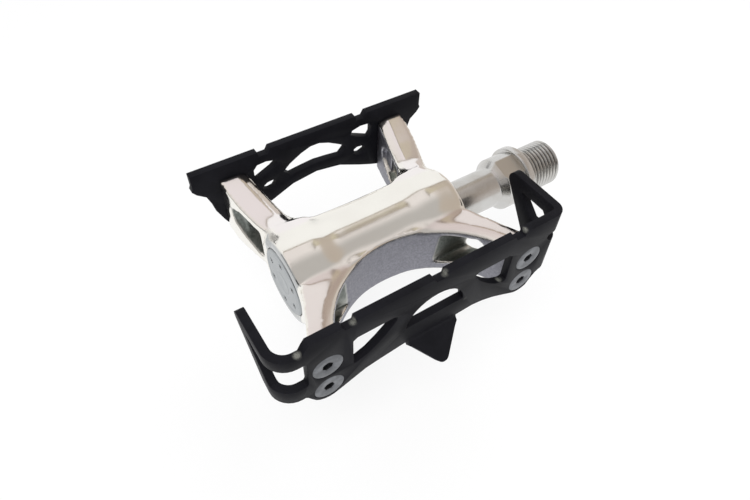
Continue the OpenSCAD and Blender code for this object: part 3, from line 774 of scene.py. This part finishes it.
def spindle_rings(sizes):
    """Rings along X. The radius is that of the turned outline. Between the flats' two ends it is at most half
    the flats' width over the cosine of the angle from the flats' middle. Over the thread it is less a
    left-hand groove: the depth times a rounded triangle wave of distance over pitch, plus angle over a full
    turn."""
    thread, collar, neck = sizes.thread / 2 / MM, sizes.collar / 2 / MM, sizes.neck / 2 / MM
    grip = sizes.grip / 2 / MM
    outline = np.array(
        [
            [-78.95, 0.05], [-78.95, 3.4], [-78.35, 4.0], [-66.95, 4.0], [-66.55, 4.3], [-66.0, 4.5],
            [-37.45, 4.5], [-34.45, 4.62], [-33.6, 5.0], [-32.9, 5.6], [-32.45, 6.4], [-32.15, 6.7],
            [-31.45, neck], [-11.5, neck], [-11.25, neck + 0.03], [-10.95, neck + 0.22],
            [-9.35, grip - 0.2], [-9.1, grip - 0.05], [-8.8, grip], [-2.9, grip], [-2.66, grip + 0.03],
            [-2.61, grip + 0.12], [-2.6, collar - 0.42], [-2.5, collar - 0.2], [-2.3, collar - 0.04],
            [-2.1, collar], [-0.45, collar], [-0.2, collar - 0.1], [0.0, collar - 0.45],
            [0.01, thread + 0.35], [0.02, thread - 0.5], [0.5, thread - 0.5],
        ]
    )
    fine = np.arange(0.55, BEVEL_FROM, RING_STEP)
    bevel = np.linspace(BEVEL_FROM, THREAD_TO, 9)
    along = np.concatenate([outline[:, 0], fine, bevel, [THREAD_TO, THREAD_TO]])
    plain = np.concatenate(
        [outline[:, 1], np.full(len(fine), thread), thread - (bevel - BEVEL_FROM), [thread - 1.6, 0.05]]
    )
    half = math.acos(sizes.flats / sizes.grip)
    angles = np.linspace(0, 2 * math.pi, 160, endpoint=False)
    # a normal at angle t points along (cos t) Z and (-sin t) Y, as the flats are turned about +X
    for middle in (FLATS_TURN, FLATS_TURN + math.pi):
        angles = np.append(angles, [(middle + s * half) % (2 * math.pi) for s in (-1, 1)])
    angles = np.unique(np.round(angles, 6))
    x, t = np.meshgrid(along, angles, indexing="ij")
    radius = np.repeat(plain[:, None], len(angles), 1)
    limit = sizes.flats / 2 / MM / np.maximum(np.abs(np.cos(t - FLATS_TURN)), 0.3)
    radius = np.where((x > FLATS_FROM) & (x < FLATS_TO), np.minimum(radius, limit), radius)
    # the wave is 0 in the groove's root and 1 at a crest
    wave = np.abs(((x / (sizes.pitch / MM) + t / (2 * math.pi)) % 1.0) * 2 - 1)
    wave = np.clip((wave - 0.12) / 0.72, 0, 1)
    deep = sizes.thread_depth / MM * eased(x, 0.3, 1.2)
    radius = np.where(x > THREAD_FROM, np.minimum(radius, thread - deep * (1 - wave)), radius)
    last = along.searchsorted(THREAD_TO)
    radius[last:] = np.minimum(radius[last:], plain[last:, None])
    return np.stack([x, -radius * np.sin(t), radius * np.cos(t)], -1) * MM


def plated_finish(sizes):
    finish = Finish("spindle_steel", Metallic=1.0)
    turning = finish.noise(900, 2, 0.6, (14, 1, 1))
    cloud = finish.noise(160, 3)
    deep = finish.read("root")
    flat = finish.read("spanner")
    plate = tuple(sizes.plating)
    base = finish.blend(cloud.rise(0.35, 0.7) * 0.5, plate, (0.50, 0.475, 0.44))
    base = finish.blend(flat, base, (0.56, 0.53, 0.48))
    # painted shade darkening the thread's roots
    base = finish.blend(deep, base, (0.17, 0.17, 0.165))
    finish.set("Base Color", base)
    finish.set("Roughness", between(flat, 0.2 + turning * 0.1, 0.38))
    finish.bump(turning, 0.05, 0.00005)
    return finish.material


class PEDAL_OT_spindle(bpy.types.Operator):
    """Turn the spindle, with its left-hand crank thread and wrench flats"""

    bl_idname = "pedal.spindle"
    bl_label = "Spindle"

    def execute(self, context):
        sizes = context.scene.pedal_spindle_sizes
        verts, faces = skin(spindle_rings(sizes))
        piece = new_piece("turned_spindle", verts, faces, 28.0)
        x, y, z = verts.T / MM
        radius = np.hypot(y, z)
        thread = sizes.thread / 2 / MM
        # the thread's roots, which get painted shade
        root = eased(thread - radius, 0.2, 0.68) * (x > 0.4) * (x < 11.9)
        lift = np.abs(z * math.cos(FLATS_TURN) - y * math.sin(FLATS_TURN))
        on_flat = (np.abs(lift - sizes.flats / 2 / MM) < 0.01) & (x > FLATS_FROM + 0.4) & (x < FLATS_TO)
        carry(piece.data, root=root, spanner=on_flat)
        piece.data.materials.append(plated_finish(sizes))
        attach(piece, "spindle")
        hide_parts("spindle")
        return {"FINISHED"}


# The dust cap


def cap_rings(sizes):
    """Rings about the axis from the middle of the outer face out over the rim and back into the skirt.
    The face is sunk by a shallow dish, two turned grooves and a well at each spanner hole. A groove is a bell
    over the radius."""
    face, rim, skirt = -81.7, 9.8, 8.6
    angles = np.linspace(0, 2 * math.pi, 288, endpoint=False)
    face_radii = np.concatenate([np.linspace(0.15, 8.9, 62), np.linspace(9.0, 9.3, 4)])
    side_radii = [9.5, 9.68, rim, rim, rim, rim, skirt, skirt, 0.2]
    side_depths = [0.06, 0.2, 0.42, 0.5, 2.0, 3.6, 3.6, 1.6, 1.6]
    depths = np.concatenate([np.zeros(len(face_radii)), side_depths])
    radius, t = np.meshgrid(np.concatenate([face_radii, side_radii]), angles, indexing="ij")
    on_face = np.arange(len(depths)) < len(face_radii)
    holes = sizes.holes
    nearest = (t + math.pi / holes) % (2 * math.pi / holes) - math.pi / holes
    off = np.sqrt((radius * np.cos(nearest) - (rim - 3)) ** 2 + (radius * np.sin(nearest)) ** 2)
    well = 0.75 * (1 - eased(off, sizes.hole / 2 / MM - 0.16, sizes.hole / 2 / MM + 0.06))
    grooves = 0.16 * bell(radius, 8.35, 0.22) + 0.12 * bell(radius, 3.4, 0.2)
    dish = 0.16 * (1 - eased(radius, 0.0, 3.2))
    depth = depths[:, None] + on_face[:, None] * (well + grooves + dish)
    return np.stack([face + depth, -radius * np.sin(t), radius * np.cos(t)], -1) * MM


def cap_finish(sizes):
    """Satin alloy turned in fine rings about the spindle axis."""
    finish = Finish("cap_alloy", Metallic=1.0)
    y, z = finish.axis("Y"), finish.axis("Z")
    radius = (y * y + z * z) ** 0.5
    rings = finish.node(
        "ShaderNodeTexNoise",
        {"noise_dimensions": "1D"},
        {"W": radius, "Scale": 5200, "Detail": 2.0, "Roughness": 0.6},
        "Fac",
    )
    cloud = finish.noise(420, 3)
    alloy = tuple(sizes.alloy)
    dark, pale = (tuple(c * tone for c in alloy) for tone in (0.85, 1.15))
    finish.set("Base Color", finish.blend(rings.rise(0.3, 0.7), dark, pale))
    finish.set("Roughness", between(cloud, 0.3, 0.42))
    finish.bump(rings, 0.16, 0.00004)
    return finish.material


class PEDAL_OT_cap(bpy.types.Operator):
    """Turn the dust cap, with its spanner holes"""

    bl_idname = "pedal.cap"
    bl_label = "Dust cap"

    def execute(self, context):
        sizes = context.scene.pedal_cap_sizes
        piece = new_piece("turned_cap", *skin(cap_rings(sizes)), 40.0)
        piece.data.materials.append(cap_finish(sizes))
        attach(piece, "cage")
        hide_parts("dust_cap")
        return {"FINISHED"}


# The bearings

GROUND_PIECES = (
    "inboard_cup",
    "inboard_balls",
    "outboard_balls",
    "outboard_cup",
    "bearing_cone",
    "lock_washer",
    "locknut",
)


class PEDAL_OT_bearings(bpy.types.Operator):
    """Finish the cups, balls, cone, washer, nut and seal inside the barrel"""

    bl_idname = "pedal.bearings"
    bl_label = "Bearings and seal"

    def execute(self, context):
        steel = Finish("bearing_steel", Metallic=1.0)
        ground = steel.noise(1400, 3, 0.6, (6, 1, 1))
        steel.set("Base Color", steel.blend(ground, (0.42, 0.42, 0.43), (0.62, 0.62, 0.63)))
        steel.set("Roughness", between(ground, 0.14, 0.3))
        steel.bump(ground, 0.06, 0.00003)
        rubber = Finish("seal_rubber", Metallic=0.0, Specular_IOR_Level=0.3)
        skin_grain = rubber.noise(2600, 3, 0.6)
        rubber.set("Base Color", rubber.blend(skin_grain, (0.012, 0.012, 0.012), (0.03, 0.03, 0.03)))
        rubber.set("Roughness", between(skin_grain, 0.55, 0.75))
        rubber.bump(skin_grain, 0.2, 0.00004)
        for node in GROUND_PIECES:
            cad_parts[node].material_slots[0].material = steel.material
        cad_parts["inboard_seal"].material_slots[0].material = rubber.material
        return {"FINISHED"}


# The stage


def mostly_white(tree, amount):
    """The amount for rays from the camera and off gloss or glass, and 0 for all other light."""
    nodes, links = tree.nodes, tree.links
    path = nodes.new("ShaderNodeLightPath")
    seen = path.outputs["Is Camera Ray"]
    for ray in ("Is Glossy Ray", "Is Transmission Ray"):
        either = nodes.new("ShaderNodeMath")
        either.operation = "MAXIMUM"
        links.new(seen, either.inputs[0])
        links.new(path.outputs[ray], either.inputs[1])
        seen = either.outputs[0]
    part = nodes.new("ShaderNodeMath")
    part.operation = "MULTIPLY"
    part.inputs[1].default_value = amount
    links.new(seen, part.inputs[0])
    return part.outputs[0]


def mix_to_output(tree, amount, lit, white, kind):
    """Mixes the lit shader with the white one by mostly_white and feeds the tree's output."""
    mix = tree.nodes.new("ShaderNodeMixShader")
    tree.links.new(mostly_white(tree, amount), mix.inputs[0])
    tree.links.new(lit.outputs[0], mix.inputs[1])
    tree.links.new(white.outputs[0], mix.inputs[2])
    out = tree.nodes.new(kind)
    tree.links.new(mix.outputs[0], out.inputs[0])


def lay_floor(level, keep):
    """A pale floor. The share to keep of its light and shadow is what the camera sees, over plain white."""
    size = 2.0
    verts = np.array([[-size, -size, level], [size, -size, level], [size, size, level], [-size, size, level]])
    floor = new_piece("floor", verts, [[0, 1, 2, 3]])
    paint = bpy.data.materials.new("pale_floor")
    paint.use_nodes = True
    tree = paint.node_tree
    tree.nodes.clear()
    lit = tree.nodes.new("ShaderNodeBsdfDiffuse")
    lit.inputs["Color"].default_value = (0.9, 0.9, 0.9, 1)
    white = tree.nodes.new("ShaderNodeEmission")
    white.inputs["Strength"].default_value = 1.0
    mix_to_output(tree, 1 - keep, lit, white, "ShaderNodeOutputMaterial")
    floor.data.materials.append(paint)


def white_world():
    """Plain white for the camera and for gloss, and a softer white light for the rest."""
    world = bpy.data.worlds.new("studio")
    world.use_nodes = True
    tree = world.node_tree
    tree.nodes.clear()
    soft = tree.nodes.new("ShaderNodeBackground")
    soft.inputs["Color"].default_value = (1, 1, 1, 1)
    soft.inputs["Strength"].default_value = 0.72
    white = tree.nodes.new("ShaderNodeBackground")
    white.inputs["Color"].default_value = (1, 1, 1, 1)
    mix_to_output(tree, 1.0, soft, white, "ShaderNodeOutputWorld")
    bpy.context.scene.world = world


def soft_lamp(name, at, watts, size):
    """A round lamp aimed at the middle of the cage. Polished metal doesn't mirror it, since the cards stand
    for the room."""
    lamp = bpy.data.lights.new(name, "AREA")
    lamp.energy, lamp.shape, lamp.size = watts, "DISK", size
    carrier = bpy.data.objects.new(name, lamp)
    bpy.context.scene.collection.objects.link(carrier)
    carrier.location = at
    carrier.rotation_mode = "QUATERNION"
    carrier.rotation_quaternion = (Vector(MIDDLE * MM) - Vector(at)).to_track_quat("-Z", "Y")
    carrier.visible_glossy = False


def room_card(name, corners, paint):
    """A glowing card, out of view, that only gloss sees. paint gives its colour from its finish."""
    card = new_piece(name, np.array(corners, float), [list(range(len(corners)))])
    finish = Finish(name, Base_Color=(0.0, 0.0, 0.0), Specular_IOR_Level=0.0, Emission_Strength=1.0)
    finish.set("Emission Color", paint(finish))
    card.data.materials.append(finish.material)
    card.visible_camera = card.visible_diffuse = card.visible_shadow = card.visible_transmission = False


def room_cards():
    """The room that the polish mirrors: a pinkish ceiling that darkens behind the camera and turns tan to the
    right, its brown far edge, a beige panel under it, a grey wall to the left and a tan one to the right.
    Beyond them gloss sees plain white."""
    side, up, far, low = 2.2, 2.0, 1.2, -0.1

    def ceiling(finish):
        x, y = finish.axis("X"), finish.axis("Y")
        grey = finish.blend(y.rise(-0.6, 0.4), (0.52, 0.50, 0.49), (0.86, 0.815, 0.81))
        return finish.blend(x.rise(0.94, 1.14), grey, (0.53, 0.46, 0.40))

    def panel(finish):
        return finish.blend(finish.axis("X").rise(0.74, 0.9), (0.26, 0.22, 0.19), (0.62, 0.56, 0.44))

    room_card("ceiling", [(-5, -5, up), (side, -5, up), (side, far, up), (-5, far, up)], ceiling)
    room_card(
        "ceiling_edge",
        [(-5, far, up), (side, far, up), (side, far + 0.14, up), (-5, far + 0.14, up)],
        lambda finish: (0.30, 0.235, 0.17),
    )
    outline = (
        (0.68, 0.0),
        (0.76, 0.28),
        (0.84, 0.42),
        (0.94, 0.42),
        (1.12, 0.6),
        (1.16, 0.9),
        (1.0, 1.2),
        (0.88, 1.12),
        (0.72, 0.7),
    )
    room_card("ceiling_panel", [(x, y, up - 0.01) for x, y in outline], panel)
    room_card(
        "left_wall",
        [(-side, -4, 1.1), (-side, 1.5, 1.1), (-side, 1.5, low), (-side, -4, low)],
        lambda finish: (0.42, 0.43, 0.44),
    )
    room_card(
        "right_wall",
        [(side, -5, up), (side, 2.4, up), (side, 2.4, low), (side, -5, low)],
        lambda finish: (0.66, 0.60, 0.555),
    )


def place_camera(sizes):
    """The camera looks along minus its back axis. It stands off the line through the aim by a small shift
    to its left and down."""
    a, e, r = sizes.azimuth, sizes.elevation, sizes.roll
    back = Vector((math.sin(a) * math.cos(e), -math.cos(a) * math.cos(e), math.sin(e)))
    right = Vector((math.cos(a), math.sin(a), 0))
    up = back.cross(right)
    right, up = right * math.cos(r) + up * math.sin(r), up * math.cos(r) - right * math.sin(r)
    aim = Vector((-45, 0, 0)) * MM
    left, down = 6.477 * MM, 5.949 * MM
    lens = bpy.data.cameras.new("camera")
    lens.lens, lens.sensor_width, lens.sensor_fit = sizes.lens, 36.0, "HORIZONTAL"
    lens.clip_start, lens.clip_end = 0.01, 20
    camera = bpy.data.objects.new("camera", lens)
    bpy.context.scene.collection.objects.link(camera)
    at = aim - right * left - up * down + back * sizes.distance
    turn = Matrix((right, up, back)).transposed().to_4x4()
    camera.matrix_world = Matrix.Translation(at) @ turn
    bpy.context.scene.camera = camera


class PEDAL_OT_stage(bpy.types.Operator):
    """Lay the pale floor, light the pedal softly and set the camera"""

    bl_idname = "pedal.stage"
    bl_label = "Floor, light and camera"

    def execute(self, context):
        sizes = context.scene.pedal_stage_sizes
        bpy.context.scene.view_settings.view_transform = "Standard"
        white_world()
        # the floor lies below the circle that the turning cage sweeps
        lay_floor(-math.hypot(CAD_BOX[0].y, CAD_BOX[1].z), sizes.keep_shadow)
        soft_lamp("key", (-0.35, -0.25, 0.7), 3.0, 0.5)
        soft_lamp("fill", (0.45, 0.25, 0.6), 1.6, 0.5)
        room_cards()
        place_camera(sizes)
        return {"FINISHED"}


OPERATORS = (
    PEDAL_OT_body,
    PEDAL_OT_plates,
    PEDAL_OT_screws,
    PEDAL_OT_spindle,
    PEDAL_OT_cap,
    PEDAL_OT_bearings,
    PEDAL_OT_stage,
)


class PEDAL_PT_panel(bpy.types.Panel):
    """Lists the pedal's pieces and their sizes"""

    bl_label = "Track pedal"
    bl_space_type = "VIEW_3D"
    bl_region_type = "UI"
    bl_category = "Pedal"

    def draw(self, context):
        for group in GROUPS:
            box = self.layout.box()
            values = getattr(context.scene, group)
            for key in GROUPS[group].__annotations__:
                box.prop(values, key)
        for operator in OPERATORS:
            self.layout.operator(operator.bl_idname)


def register():
    for cls in (*GROUPS.values(), *OPERATORS, PEDAL_PT_panel):
        bpy.utils.register_class(cls)
    for name, cls in GROUPS.items():
        setattr(bpy.types.Scene, name, PointerProperty(type=cls))


def unregister():
    for name in GROUPS:
        delattr(bpy.types.Scene, name)
    for cls in reversed((*GROUPS.values(), *OPERATORS, PEDAL_PT_panel)):
        bpy.utils.unregister_class(cls)


def main():
    register()
    bpy.ops.pedal.body()
    bpy.ops.pedal.plates()
    bpy.ops.pedal.screws()
    bpy.ops.pedal.spindle()
    bpy.ops.pedal.cap()
    bpy.ops.pedal.bearings()
    bpy.ops.pedal.stage()


if __name__ == "__main__":
    main()
